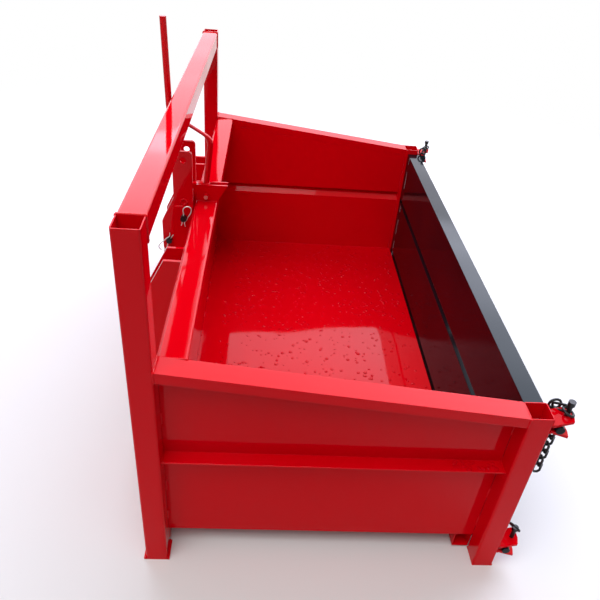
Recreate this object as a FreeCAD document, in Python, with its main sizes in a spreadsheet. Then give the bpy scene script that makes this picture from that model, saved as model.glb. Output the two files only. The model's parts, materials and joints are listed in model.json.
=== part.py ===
"""Tipping transport box for a tractor's three-point linkage, in millimetres.

Frame: +X towards the tailgate, +Y towards the machine's right, +Z up. The origin lies on the
ground, under the middle of the whole machine. Outlines are drawn in box coordinates: x runs
backwards from the front face of the uprights, which stands at `front_x`.

The box stands on its four corners. The headstock, a narrow tower that takes the top link, turns
on the tipping tube between the lower link brackets. A hook on the long lever holds it shut.
"""
import FreeCAD, Part
import math
import os
import re

import Sketcher

Vector = FreeCAD.Vector
doc = FreeCAD.newDocument("TransportBox")
sheet = doc.addObject("Spreadsheet::Sheet", "Sizes")

# ---------------------------------------------------------------- driving dimensions
SIZES = [
    # the box and its frame of square tube
    ("box_width", 1800),          # over the uprights
    ("tube_side", 60),            # uprights, rear posts and head tube
    ("tube_wall", 3),
    ("tube_corner", 6),           # outside corner radius of every square tube
    ("edge_flat", 0.5),           # straight stretch left beside a full rounding
    ("upright_top", 1068),
    ("post_front", 950),          # front face of the rear posts, from the uprights' front face
    ("post_top", 608),
    ("foot_long", 72),
    ("foot_wide", 60),
    ("foot_thick", 6),
    ("foot_toe", 6),              # how far a foot stands out in front of its upright
    ("cap_thick", 5),             # plate that closes the bottom of a rear post
    # sheet metal
    ("sheet_thick", 3),
    ("floor_top", 70),
    ("rail_high", 30),
    ("rail_front_top", 710),      # side rails fall from here to the rear posts' tops
    ("rib_top", 393),             # swaged rib along each side
    ("rib_depth", 43),
    ("rib_rise", 47),
    ("rib_bend", 3),              # outside radius of the rib's nose
    # cross members
    ("front_rail_deep", 70),
    ("front_rail_high", 40),
    ("front_rail_top", 702),
    ("floor_gap", 6),             # between the floor's rear edge and the tailgate
    ("sill_deep", 40),
    ("sill_high", 50),
    ("rear_sill_deep", 50),
    ("rear_sill_high", 60),
    ("bearer_wide", 50),
    ("bearer_high", 40),
    ("bearer_wall", 4),
    ("bearer_offset", 460),       # middle of a bearer, from the centre plane
    # lower link brackets
    ("link_offset", 360),         # middle of a bracket, from the centre plane
    ("link_gap", 65),
    ("link_plate", 10),
    ("link_top", 693),
    ("link_top_front", 5),
    ("link_knee_x", -52),
    ("link_knee_z", 581),
    ("link_hole_x", -75),
    ("link_hole_z", 115),
    ("link_hole_radius", 11.2),
    ("link_nose_radius", 35),
    ("link_nose_rise", 60),       # height of the nose's straight front above the hole
    # tipping tube and headstock
    ("tip_radius", 24.15),
    ("tip_wall", 4),
    ("tip_play", 0.1),
    ("sleeve_wall", 3),
    ("sleeve_overhang", 12),
    ("mast_gap", 86),             # between the headstock's two plates
    ("mast_plate", 10),
    ("mast_back", 52),
    ("mast_top", 888),
    ("mast_front", -12),
    ("mast_neck_z", 727),
    ("mast_belly_x", -52),
    ("mast_belly_z", 643),
    ("mast_chin_z", 525),
    ("mast_heel_z", 330),         # below it the plates' rear edge leaves the front wall
    ("mast_corner", 12),
    ("mast_toe", 3),              # metal of the plates round the sleeve
    ("mast_toe_low", 2),          # and under it
    ("mast_hole_radius", 10.2),
    ("upper_hole_x", 23),
    ("upper_hole_z", 859),
    ("middle_hole_x", 21),
    ("middle_hole_z", 660),
    ("lower_hole_x", -30),
    ("lower_hole_z", 573),
    ("link_pin_radius", 10),
    ("link_pin_end", 18),         # how far a pin stands out of the plates
    ("doubler_thick", 8),
    ("doubler_low", 540),
    ("doubler_high", 697),
    ("catch_x", 22),
    ("catch_z", 712),
    ("catch_radius", 10),
    ("web_x", -20),
    ("web_thick", 8),
    ("web_low", 200),
    ("web_high", 520),
    # latch
    ("pivot_x", 92),
    ("pivot_radius", 6.5),
    ("pivot_end", 12),            # how far the pivot stands out of the cheeks
    ("hub_radius", 13),
    ("hub_clearance", 5),         # between the hub and the front rail
    ("hook_thick", 16),
    ("hook_lift", 21.5),          # the raised arm over the catch pin
    ("hook_arm", 17.5),           # height of the arm
    ("hook_tip_lift", 10),        # the raised tip over the catch pin
    ("hook_reach", 6),            # nose in front of the catch pin
    ("hook_nose_deep", 14),
    ("cheek_play", 2),            # beside the hook, each side
    ("cheek_thick", 6),
    ("cheek_back", 165),
    ("rod_radius", 10),
    ("rod_bend", 24),             # how far a bend reaches along the legs beside it
    ("rod_elbow_x", 108),
    ("rod_elbow_z", 917),
    ("rod_under_x", 31),
    ("rod_under_z", 963),
    ("rod_knee_x", -21),
    ("rod_knee_z", 993),
    ("rod_top_x", -28),
    ("rod_top_z", 1275),
    # tailgate and its brackets
    ("gate_front", 963),
    ("gate_deep", 52),
    ("gate_top", 588),
    ("gate_bottom", 30),
    ("gate_side_gap", 4),
    ("gate_lip", 20),
    ("groove_top", 365),
    ("groove_high", 26),
    ("groove_deep", 12),
    ("ear_thick", 8),
    ("ear_half_high", 17),
    ("stub_x", 1030.5),
    ("stub_radius", 11.3),
    ("stub_long", 68),
    ("upper_stub_z", 576),
    ("lower_stub_z", 80),
    ("bracket_plate", 7),
    ("bracket_long", 54),
    ("bracket_rise", 18.6),       # how far each plate leans away from the stub over its length
    ("bracket_wide", 55),
    ("bracket_clip_long", 6),
    ("bracket_clip_wide", 20),
    ("lock_pin_x", 1050),
    ("lock_pin_radius", 6),
    ("lock_pin_play", 0.5),
    ("lock_pin_tip", 10),         # under the lower plate
    ("lock_pin_rise", 43),        # over the upper plate
    ("lock_head_radius", 9),
    ("lock_head_high", 12),
    # chains
    ("chain_x", 1034),
    ("chain_wire", 3.25),         # half the thickness of a link's wire
    ("chain_long", 39),
    ("chain_wide", 25),
    ("chain_bend", 5.5),          # corner that rounds a link's end
    ("chain_gap", 0.3),
]

DERIVED = [
    ("half_width", "=box_width / 2"),
    ("inner_half", "=half_width - tube_side"),
    ("post_back", "=post_front + tube_side"),
    ("rear_reach", "=post_back + bracket_long"),
    ("nose_reach", "=link_hole_x - link_nose_radius"),
    ("front_x", "=-(rear_reach + nose_reach) / 2"),
    ("side_run", "=post_front - tube_side"),
    ("rail_fall", "=rail_front_top - post_top"),
    ("floor_under", "=floor_top - sheet_thick"),
    ("sill_low", "=floor_under - sill_high"),
    ("sill_front", "=tube_side - sheet_thick - sill_deep"),
    ("rib_low", "=rib_top - rib_rise"),
    ("rib_slope", "=sqrt(rib_depth ^ 2 + rib_rise ^ 2)"),
    ("rib_low_inside", "=rib_low + sheet_thick * (rib_slope - rib_rise) / rib_depth"),
    ("rib_share", "=(rib_rise - sheet_thick - sheet_thick * rib_depth / rib_slope) / rib_rise"),
    ("rib_nose_inside", "=rib_depth * rib_share - sheet_thick * rib_rise / rib_slope"),
    ("link_inner_face", "=link_offset - link_gap / 2 - link_plate"),
    ("link_low", "=link_hole_z - link_nose_radius"),
    ("link_nose_round", "=link_nose_radius - edge_flat"),
    ("mast_outside", "=mast_gap / 2 + mast_plate"),
    ("sleeve_half", "=mast_outside + sleeve_overhang"),
    ("sleeve_bore", "=tip_radius + tip_play"),
    ("sleeve_radius", "=sleeve_bore + sleeve_wall"),
    ("toe_reach", "=sleeve_radius + mast_toe"),
    ("pivot_z", "=front_rail_top + hub_clearance + hub_radius"),
    ("hub_round", "=hub_radius - edge_flat"),
    ("catch_high", "=catch_z + catch_radius"),
    ("hook_under", "=catch_high + hook_lift"),
    ("hook_top", "=hook_under + hook_arm"),
    ("hook_tip_z", "=catch_high + hook_tip_lift"),
    ("hook_nose_x", "=catch_x - catch_radius - hook_reach - hook_nose_deep"),
    ("cheek_gap", "=hook_thick + 2 * cheek_play"),
    ("rod_elbow_in", "=rod_bend / sqrt((pivot_x - rod_elbow_x) ^ 2 + (hook_top - rod_elbow_z) ^ 2)"),
    ("rod_elbow_out", "=rod_bend / sqrt((rod_under_x - rod_elbow_x) ^ 2 + (rod_under_z - rod_elbow_z) ^ 2)"),
    ("rod_knee_in", "=rod_bend / sqrt((rod_under_x - rod_knee_x) ^ 2 + (rod_under_z - rod_knee_z) ^ 2)"),
    ("rod_knee_out", "=rod_bend / sqrt((rod_top_x - rod_knee_x) ^ 2 + (rod_top_z - rod_knee_z) ^ 2)"),
    ("gate_half", "=inner_half - gate_side_gap"),
    ("gate_back", "=gate_front + gate_deep"),
    ("ear_reach", "=stub_x + ear_half_high"),
    ("flare_slope", "=bracket_rise / bracket_long"),
    ("flare_stretch", "=sqrt(1 + flare_slope ^ 2)"),
    ("plate_high", "=bracket_plate * flare_stretch"),
    ("mouth_half", "=stub_radius * flare_stretch - (stub_x - post_back) * flare_slope"),
    ("mouth_rear", "=mouth_half + bracket_rise"),
    ("lock_plate_z", "=mouth_half + (lock_pin_x - post_back) * flare_slope + plate_high"),
    ("lock_low", "=-lock_plate_z - lock_pin_tip"),
    ("lock_high", "=lock_plate_z + lock_pin_rise"),
    ("chain_half_path", "=chain_long / 2 - chain_wire"),
    ("chain_side_path", "=chain_wide / 2 - chain_wire"),
    ("chain_wire_flat", "=chain_wire * sqrt(3) / 2"),
    ("chain_pitch", "=chain_long - 4 * chain_wire - chain_gap"),
    ("chain_top", "=upper_stub_z - mouth_half - plate_high - (chain_x - post_back) * flare_slope"),
    ("past_all", "=3 * box_width"),
]


def fill_sheet():
    """Writes every size into the sheet as a plain number under its own name."""
    for row, (name, value) in enumerate(SIZES + DERIVED, start=1):
        sheet.set("A%d" % row, name)
        sheet.set("B%d" % row, str(value))
        sheet.setAlias("B%d" % row, name)
    doc.recompute()


fill_sheet()
NAMES = {name for name, _ in SIZES + DERIVED}


def bound(text):
    """Points the size names in a short formula at the sheet."""
    return re.sub(r"[a-z_]+", lambda m: "Sizes." + m[0] if m[0] in NAMES else m[0], str(text))


def size(name):
    return float(sheet.get(name))


# ---------------------------------------------------------------- drawing helpers
ROUGH_STEP = 100    # mm between the points of a path before its constraints pull it into place
BEND_STEPS = 4      # straight pieces in one bend of the lever
CHAIN_LINKS = 6     # links hanging on each side


def new_body(label):
    body = doc.addObject("PartDesign::Body", label)
    body.Label = label
    return body


def new_sketch(body, role, name):
    """A sketch on one of the body's own origin planes."""
    sketch = body.newObject("Sketcher::SketchObject", body.Name + "_" + name)
    origin_plane = [f for f in body.Origin.OriginFeatures if f.Role == role][0]
    sketch.AttachmentSupport = [(origin_plane, "")]
    sketch.MapMode = "FlatFace"
    return sketch


def hold(sketch, kind, geometry, point, text):
    """Ties one coordinate of a sketch point to a formula."""
    index = sketch.addConstraint(Sketcher.Constraint(kind, geometry, point, 1.0))
    sketch.setExpression("Constraints[%d]" % index, bound(text))


def draw_polygon(sketch, corners):
    """A closed outline whose every corner is tied to the sheet."""
    first = sketch.GeometryCount
    count = len(corners)
    start = [Vector(math.cos(2 * math.pi * i / count), math.sin(2 * math.pi * i / count), 0)
             for i in range(count)]
    for i in range(count):
        sketch.addGeometry(Part.LineSegment(start[i], start[(i + 1) % count]))
    for i in range(count):
        sketch.addConstraint(Sketcher.Constraint("Coincident", first + i, 2, first + (i + 1) % count, 1))
        hold(sketch, "DistanceX", first + i, 1, corners[i][0])
        hold(sketch, "DistanceY", first + i, 1, corners[i][1])


def draw_rectangle(sketch, left, low, right, high):
    draw_polygon(sketch, [(left, low), (right, low), (right, high), (left, high)])


def draw_path(sketch, points):
    """An open run of straight lines. The sketcher starts from a rough stair and pulls it into place."""
    count = len(points) - 1
    stair = [Vector(-i, ROUGH_STEP * i, 0) for i in range(count + 1)]
    for i in range(count):
        sketch.addGeometry(Part.LineSegment(stair[i], stair[i + 1]))
    for i in range(count - 1):
        sketch.addConstraint(Sketcher.Constraint("Coincident", i, 2, i + 1, 1))
    for i in range(count):
        hold(sketch, "DistanceX", i, 1, points[i][0])
        hold(sketch, "DistanceY", i, 1, points[i][1])
    hold(sketch, "DistanceX", count - 1, 2, points[count][0])
    hold(sketch, "DistanceY", count - 1, 2, points[count][1])


def draw_circle(sketch, across, up, radius):
    index = sketch.addGeometry(Part.Circle(Vector(0, 0, 0), Vector(0, 0, 1), 1.0))
    hold(sketch, "DistanceX", index, 3, across)
    hold(sketch, "DistanceY", index, 3, up)
    turn = sketch.addConstraint(Sketcher.Constraint("Radius", index, 1.0))
    sketch.setExpression("Constraints[%d]" % turn, bound(radius))


def extrude(body, sketch, length, both_ways=False):
    pad = body.newObject("PartDesign::Pad", body.Name + "_pad")
    pad.Profile = sketch
    pad.Midplane = both_ways
    pad.setExpression("Length", bound(length))
    doc.recompute()
    return pad


def cut_through(body, sketch, length):
    """Cuts a sketch out of the body, on both sides of the sketch's plane."""
    pocket = body.newObject("PartDesign::Pocket", body.Name + "_cut")
    pocket.Profile = sketch
    pocket.Midplane = True
    pocket.setExpression("Length", bound(length))
    doc.recompute()
    return pocket


def revolve(body, sketch):
    """Turns a half outline about its sketch's upright axis."""
    turned = body.newObject("PartDesign::Revolution", body.Name + "_turned")
    turned.Profile = sketch
    turned.ReferenceAxis = (sketch, ["V_Axis"])
    turned.Angle = 360
    doc.recompute()
    return turned


def sweep(body, section, path, corners):
    """Carries a section along a path of straight lines; corners says how the pieces are mitred."""
    pipe = body.newObject("PartDesign::AdditivePipe", body.Name + "_sweep")
    pipe.Profile = section
    pipe.Spine = (path, [])
    pipe.Transition = corners
    doc.recompute()
    return pipe


def round_edges(body, base, edges, radius):
    fillet = body.newObject("PartDesign::Fillet", body.Name + "_round")
    fillet.Base = (base, edges)
    fillet.setExpression("Radius", bound(radius))
    doc.recompute()
    return fillet


def corner_edges(feature, sketch, corners):
    """Names the long edges that an extruded outline's chosen corners became."""
    names = []
    turn = sketch.getGlobalPlacement()
    normal = turn.Rotation.multVec(Vector(0, 0, 1))
    for index in corners:
        point = turn.multVec(sketch.Geometry[index].StartPoint)
        for number, edge in enumerate(feature.Shape.Edges, start=1):
            ends = [vertex.Point - point for vertex in edge.Vertexes]
            if len(ends) == 2 and all(end.cross(normal).Length < 1e-3 for end in ends):
                names.append("Edge%d" % number)
    return names


def place(thing, x="0", y="0", z="0"):
    for axis, text in (("x", x), ("y", y), ("z", z)):
        thing.setExpression(".Placement.Base." + axis, bound(text))


def mirrored(label, source):
    """The right-hand twin of a left-hand piece."""
    twin = doc.addObject("Part::Mirroring", label)
    twin.Label = label
    twin.Source = source
    twin.Base = Vector(0, 0, 0)
    twin.Normal = Vector(0, 1, 0)
    return twin


def grouped(label, pieces):
    """Like pieces that don't touch, kept as one sub-part."""
    group = doc.addObject("Part::Compound", label)
    group.Label = label
    group.Links = pieces
    return group


def both_sides(label, source):
    return grouped(label, [source, mirrored(label + "_twin", source)])


def square_tube(label, role, left, low, right, high, length, both_ways=False):
    """A hollow section with rounded outside corners, drawn across its own length."""
    body = new_body(label)
    outer = new_sketch(body, role, "outer")
    draw_rectangle(outer, left, low, right, high)
    pad = extrude(body, outer, length, both_ways)
    round_edges(body, pad, corner_edges(pad, outer, range(4)), "tube_corner")
    inner = new_sketch(body, role, "inner")
    draw_rectangle(inner, left + " + tube_wall", low + " + tube_wall",
                   right + " - tube_wall", high + " - tube_wall")
    cut_through(body, inner, "2 * (%s) + 2 * tube_side" % length)
    return body


def plate(label, outline, thick, holes=(), rounded=(), radius="mast_corner"):
    """A flat plate seen from the side: its outline in X and Z, its thickness towards -Y."""
    body = new_body(label)
    sketch = new_sketch(body, "XZ_Plane", "outline")
    draw_polygon(sketch, outline)
    for across, up, bore in holes:
        draw_circle(sketch, across, up, bore)
    # The XZ plane faces -Y, so a pad grows towards -Y from the body's place.
    pad = extrude(body, sketch, thick)
    if rounded:
        round_edges(body, pad, corner_edges(pad, sketch, rounded), radius)
    return body


def block(label, x, y, z, long, wide, high):
    box = doc.addObject("Part::Box", label)
    box.Label = label
    box.setExpression("Length", bound(long))
    box.setExpression("Width", bound(wide))
    box.setExpression("Height", bound(high))
    place(box, x, y, z)
    return box


def round_bar(label, x, y, z, radius, length, along="Y"):
    bar = doc.addObject("Part::Cylinder", label)
    bar.Label = label
    bar.setExpression("Radius", bound(radius))
    bar.setExpression("Height", bound(length))
    if along == "Y":
        bar.Placement = FreeCAD.Placement(Vector(0, 0, 0), FreeCAD.Rotation(Vector(1, 0, 0), -90))
    place(bar, x, y, z)
    return bar


NODES = []


def node(piece):
    NODES.append(piece)
    return piece


# ---------------------------------------------------------------- frame of the box
def make_uprights():
    left = square_tube("upright_left", "XY_Plane", "0", "-half_width", "tube_side", "-inner_half",
                       "upright_top - foot_thick")
    place(left, "front_x", "0", "foot_thick")
    node(left)
    node(mirrored("upright_right", left))
    foot = block("foot_plate", "front_x - foot_toe", "-half_width", "0",
                 "foot_long", "foot_wide", "foot_thick")
    node(both_sides("foot_plates", foot))


def make_head_tube():
    tube = square_tube("head_tube", "XZ_Plane", "0", "upright_top - tube_side", "tube_side",
                       "upright_top", "2 * inner_half", both_ways=True)
    place(tube, "front_x")
    node(tube)


def make_rear_posts():
    left = square_tube("rear_post_left", "XY_Plane", "post_front", "-half_width", "post_back",
                       "-inner_half", "post_top - cap_thick")
    place(left, "front_x", "0", "cap_thick")
    node(left)
    node(mirrored("rear_post_right", left))
    cap = block("post_cap", "front_x + post_front", "-half_width", "0",
                "tube_side", "tube_side", "cap_thick")
    node(both_sides("post_caps", cap))


def make_side_rails():
    """Hollow rails that fall from the uprights to the rear posts, with upright ends."""
    body = new_body("side_rail_left")
    outer = new_sketch(body, "YZ_Plane", "outer")
    draw_rectangle(outer, "-half_width", "rail_front_top - rail_high", "-inner_half", "rail_front_top")
    pad = extrude(body, outer, "side_run")
    pad.UseCustomVector = True
    pad.AlongSketchNormal = True
    pad.setExpression("Direction.x", bound("side_run"))
    pad.setExpression("Direction.y", "0")
    pad.setExpression("Direction.z", bound("-rail_fall"))
    doc.recompute()
    inner = new_sketch(body, "YZ_Plane", "inner")
    draw_rectangle(inner, "tube_wall - half_width", "rail_front_top - rail_high + tube_wall",
                   "-inner_half - tube_wall", "rail_front_top - tube_wall")
    hollow = body.newObject("PartDesign::Pocket", "side_rail_hollow")
    hollow.Profile = inner
    hollow.Reversed = True
    hollow.UseCustomVector = True
    hollow.AlongSketchNormal = True
    hollow.setExpression("Direction.x", bound("-side_run"))
    hollow.setExpression("Direction.y", "0")
    hollow.setExpression("Direction.z", bound("rail_fall"))
    hollow.setExpression("Length", bound("side_run"))
    doc.recompute()
    place(body, "front_x + tube_side")
    node(body)
    node(mirrored("side_rail_right", body))


def make_side_panels():
    """Sheet sides, each with a swaged rib and a top edge that follows the rail."""
    body = new_body("side_panel_left")
    section = new_sketch(body, "YZ_Plane", "section")
    outside = "-inner_half - sheet_thick"
    draw_polygon(section, [
        ("-inner_half", "floor_under"),
        ("-inner_half", "rib_low_inside"),
        ("-inner_half - rib_nose_inside", "rib_top - sheet_thick"),
        ("-inner_half", "rib_top - sheet_thick"),
        ("-inner_half", "rail_front_top"),
        (outside, "rail_front_top"),
        (outside, "rib_top"),
        (outside + " - rib_depth", "rib_top"),
        (outside, "rib_low"),
        (outside, "floor_under"),
    ])
    pad = extrude(body, section, "side_run")
    rib_nose = 7    # the rib's outer corner, counted from 0 in the outline above
    round_edges(body, pad, corner_edges(pad, section, [rib_nose]), "rib_bend")
    slope = new_sketch(body, "XZ_Plane", "slope")
    draw_polygon(slope, [
        ("0", "rail_front_top - rail_high"),
        ("side_run", "post_top - rail_high"),
        ("side_run", "rail_front_top + rail_high"),
        ("0", "rail_front_top + rail_high"),
    ])
    cut_through(body, slope, "past_all")
    place(body, "front_x + tube_side")
    node(body)
    node(mirrored("side_panel_right", body))


def make_front_and_floor():
    """The front wall reaches from its sill up to where the front rail's corner starts to round."""
    node(block("front_wall", "front_x + tube_side - sheet_thick", "-inner_half", "sill_low",
               "sheet_thick", "2 * inner_half", "front_rail_top - tube_corner - sill_low"))
    rail = square_tube("front_rail", "XZ_Plane", "tube_side", "front_rail_top - front_rail_high",
                       "tube_side + front_rail_deep", "front_rail_top", "2 * inner_half",
                       both_ways=True)
    place(rail, "front_x")
    node(rail)
    node(block("floor", "front_x + tube_side", "-inner_half", "floor_under",
               "gate_front - floor_gap - tube_side", "2 * inner_half", "sheet_thick"))


def make_underside():
    """Sills across the box and folded bearers along it, all hard against the floor sheet."""
    front = square_tube("front_sill", "XZ_Plane", "sill_front", "sill_low",
                        "sill_front + sill_deep", "floor_under", "2 * inner_half", both_ways=True)
    place(front, "front_x")
    node(front)
    rear = square_tube("rear_sill", "XZ_Plane", "post_front - rear_sill_deep",
                       "floor_under - rear_sill_high", "post_front", "floor_under",
                       "2 * inner_half", both_ways=True)
    place(rear, "front_x")
    node(rear)
    bearer = new_body("floor_bearer")
    section = new_sketch(bearer, "YZ_Plane", "section")
    half = "bearer_wide / 2"
    low = "floor_under - bearer_high"
    draw_polygon(section, [
        ("-bearer_offset - " + half, "floor_under"),
        ("-bearer_offset - " + half, low),
        ("-bearer_offset + " + half, low),
        ("-bearer_offset + " + half, "floor_under"),
        ("-bearer_offset + " + half + " - bearer_wall", "floor_under"),
        ("-bearer_offset + " + half + " - bearer_wall", low + " + bearer_wall"),
        ("-bearer_offset - " + half + " + bearer_wall", low + " + bearer_wall"),
        ("-bearer_offset - " + half + " + bearer_wall", "floor_under"),
    ])
    extrude(bearer, section, "post_front - rear_sill_deep - tube_side")
    place(bearer, "front_x + tube_side")
    node(both_sides("floor_bearers", bearer))


# ---------------------------------------------------------------- lower link brackets
def make_link_brackets():
    """Two tall plates each side, welded to the front wall, with a bore for the link pin."""
    outline = [
        ("tube_side - sheet_thick", "link_low"),
        ("tube_side - sheet_thick", "link_top"),
        ("link_top_front", "link_top"),
        ("link_knee_x", "link_knee_z"),
        ("nose_reach", "link_hole_z + link_nose_rise"),
        ("nose_reach", "link_low"),
    ]
    hole = [("link_hole_x", "link_hole_z", "link_hole_radius")]
    plates = []
    for name, face in (("inner", "-link_inner_face"),
                       ("outer", "-link_offset - link_gap / 2")):
        piece = plate("link_plate_" + name, outline, "link_plate", hole, [5], "link_nose_round")
        place(piece, "front_x", face)
        plates.append(piece)
    left = node(grouped("link_bracket_left", plates))
    node(mirrored("link_bracket_right", left))
    pipe = new_body("tipping_tube")
    ring = new_sketch(pipe, "XZ_Plane", "ring")
    draw_circle(ring, "link_hole_x", "link_hole_z", "tip_radius")
    draw_circle(ring, "link_hole_x", "link_hole_z", "tip_radius - tip_wall")
    extrude(pipe, ring, "2 * link_inner_face", both_ways=True)
    place(pipe, "front_x")
    node(pipe)


# ---------------------------------------------------------------- headstock
def make_headstock():
    outline = [
        ("mast_back", "mast_heel_z"),
        ("mast_back", "mast_top"),
        ("mast_front", "mast_top"),
        ("mast_front", "mast_neck_z"),
        ("mast_belly_x", "mast_belly_z"),
        ("mast_belly_x", "mast_chin_z"),
        ("link_hole_x - toe_reach", "link_hole_z + toe_reach"),
        ("link_hole_x - toe_reach", "link_hole_z - sleeve_radius - mast_toe_low"),
        ("link_hole_x + toe_reach", "link_hole_z - sleeve_radius - mast_toe_low"),
    ]
    holes = [
        ("upper_hole_x", "upper_hole_z", "mast_hole_radius"),
        ("middle_hole_x", "middle_hole_z", "link_pin_radius"),
        ("lower_hole_x", "lower_hole_z", "link_pin_radius"),
        ("catch_x", "catch_z", "catch_radius"),
        ("link_hole_x", "link_hole_z", "sleeve_radius"),
    ]
    left = plate("mast_plate_left", outline, "mast_plate", holes, [1, 2])
    place(left, "front_x", "-mast_gap / 2")
    node(left)
    node(mirrored("mast_plate_right", left))

    sleeve = new_body("mast_sleeve")
    ring = new_sketch(sleeve, "XZ_Plane", "ring")
    draw_circle(ring, "link_hole_x", "link_hole_z", "sleeve_radius")
    draw_circle(ring, "link_hole_x", "link_hole_z", "sleeve_bore")
    extrude(sleeve, ring, "2 * sleeve_half", both_ways=True)
    place(sleeve, "front_x")
    node(sleeve)

    web = block("mast_web", "front_x + web_x", "-mast_gap / 2", "web_low",
                "web_thick", "mast_gap", "web_high - web_low")
    node(web)

    doubler = plate("mast_doubler", [
        ("mast_back", "doubler_low"), ("mast_back", "doubler_high"),
        ("mast_front", "doubler_high"), ("mast_belly_x", "mast_belly_z"),
        ("mast_belly_x", "doubler_low")], "doubler_thick",
        [("middle_hole_x", "middle_hole_z", "link_pin_radius"),
         ("lower_hole_x", "lower_hole_z", "link_pin_radius")])
    place(doubler, "front_x", "-mast_outside")
    node(both_sides("mast_doublers", doubler))

    node(round_bar("catch_pin", "front_x + catch_x", "-mast_outside", "catch_z",
                   "catch_radius", "2 * mast_outside"))
    reach = "mast_outside + doubler_thick + link_pin_end"
    node(round_bar("upper_stow_pin", "front_x + middle_hole_x", "-(%s)" % reach, "middle_hole_z",
                   "link_pin_radius", "2 * (%s)" % reach))
    node(round_bar("lower_stow_pin", "front_x + lower_hole_x", "-(%s)" % reach, "lower_hole_z",
                   "link_pin_radius", "2 * (%s)" % reach))


# ---------------------------------------------------------------- latch and its lever
def make_latch():
    cheek = plate("latch_cheek", [
        ("tube_side", "front_rail_top"), ("tube_side + front_rail_deep", "front_rail_top"),
        ("cheek_back", "hook_top"), ("tube_side", "hook_top")], "cheek_thick",
        [("pivot_x", "pivot_z", "pivot_radius")])
    place(cheek, "front_x", "-cheek_gap / 2")
    node(both_sides("latch_cheeks", cheek))
    reach = "cheek_gap / 2 + cheek_thick + pivot_end"
    node(round_bar("latch_pivot", "front_x + pivot_x", "-(%s)" % reach, "pivot_z",
                   "pivot_radius", "2 * (%s)" % reach))

    hook = new_body("latch_hook")
    side = new_sketch(hook, "XZ_Plane", "side")
    draw_polygon(side, [
        ("pivot_x - hub_radius", "pivot_z - hub_radius"),
        ("pivot_x + hub_radius", "pivot_z - hub_radius"),
        ("pivot_x + hub_radius", "hook_top"),
        ("hook_nose_x", "hook_top"),
        ("hook_nose_x", "hook_tip_z"),
        ("hook_nose_x + hook_nose_deep", "hook_tip_z"),
        ("hook_nose_x + hook_nose_deep", "hook_under"),
        ("pivot_x - hub_radius", "hook_under"),
    ])
    draw_circle(side, "pivot_x", "pivot_z", "pivot_radius + tip_play")
    pad = extrude(hook, side, "hook_thick", both_ways=True)
    round_edges(hook, pad, corner_edges(pad, side, [0, 1]), "hub_round")
    place(hook, "front_x")
    node(hook)


def bend(before, corner, after):
    """Points of a curve that rounds a corner, tangent to the legs before and after it."""
    points = []
    for step in range(BEND_STEPS + 1):
        done = step / BEND_STEPS
        shares = ((1 - done) ** 2, corner, before, done ** 2, corner, after)
        points.append(tuple(
            "{1}_{0} + {2:.4f} * {1}_in * ({3} - {1}_{0}) + {4:.4f} * {1}_out * ({5} - {1}_{0})".format(
                axis, corner, shares[0], before[axis], shares[3], after[axis]) for axis in "xz"))
    return points


def make_lever_rod():
    """The round-bar lever: it rises from the hook, passes under the head tube and stands up."""
    body = new_body("lever_rod")
    foot = {"x": "pivot_x", "z": "hook_top"}
    under = {"x": "rod_under_x", "z": "rod_under_z"}
    top = {"x": "rod_top_x", "z": "rod_top_z"}
    path = new_sketch(body, "XZ_Plane", "path")
    points = [(foot["x"], foot["z"])]
    points += bend(foot, "rod_elbow", under)
    points += bend(under, "rod_knee", top)
    points.append((top["x"], top["z"]))
    draw_path(path, points)
    section = new_sketch(body, "XY_Plane", "section")
    section.setExpression(".AttachmentOffset.Base.z", bound("hook_top"))
    draw_circle(section, "pivot_x", "0", "rod_radius")
    doc.recompute()
    sweep(body, section, path, "Transformed")
    place(body, "front_x")
    node(body)


# ---------------------------------------------------------------- tailgate
def make_tailgate():
    """Folded sheet with a groove along it, plates over its ends, ears and round stubs."""
    skin = new_body("tailgate_skin")
    section = new_sketch(skin, "XZ_Plane", "section")
    inside = "gate_front + sheet_thick"
    half = "groove_high / 2"
    draw_polygon(section, [
        ("gate_front", "gate_bottom"),
        ("gate_back", "gate_bottom"),
        ("gate_back", "gate_bottom + gate_lip"),
        ("gate_back - sheet_thick", "gate_bottom + gate_lip"),
        ("gate_back - sheet_thick", "gate_bottom + sheet_thick"),
        (inside, "gate_bottom + sheet_thick"),
        (inside, "groove_top - groove_high"),
        (inside + " + groove_deep", "groove_top - " + half),
        (inside, "groove_top"),
        (inside, "gate_top - sheet_thick"),
        ("gate_back - sheet_thick", "gate_top - sheet_thick"),
        ("gate_back - sheet_thick", "gate_top - gate_lip"),
        ("gate_back", "gate_top - gate_lip"),
        ("gate_back", "gate_top"),
        ("gate_front", "gate_top"),
        ("gate_front", "groove_top"),
        ("gate_front + groove_deep", "groove_top - " + half),
        ("gate_front", "groove_top - groove_high"),
    ])
    extrude(skin, section, "2 * gate_half - 2 * ear_thick", both_ways=True)
    place(skin, "front_x")
    node(skin)

    end = plate("tailgate_end", [
        ("gate_front", "gate_bottom"), ("gate_back", "gate_bottom"),
        ("ear_reach", "lower_stub_z - ear_half_high"),
        ("ear_reach", "lower_stub_z + ear_half_high"),
        ("gate_back", "lower_stub_z + 2 * ear_half_high"),
        ("gate_back", "upper_stub_z - 2 * ear_half_high"),
        ("ear_reach", "upper_stub_z - ear_half_high"),
        ("ear_reach", "gate_top"), ("gate_front", "gate_top")], "ear_thick",
        (), [2, 3, 6, 7], "ear_half_high / 2")
    place(end, "front_x", "-gate_half + ear_thick")
    node(both_sides("tailgate_ends", end))

    stubs = []
    for name in ("lower", "upper"):
        stubs.append(round_bar(name + "_stub", "front_x + stub_x", "-gate_half - stub_long",
                               name + "_stub_z", "stub_radius", "stub_long"))
    left = node(grouped("gate_stubs_left", stubs))
    node(mirrored("gate_stubs_right", left))


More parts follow.
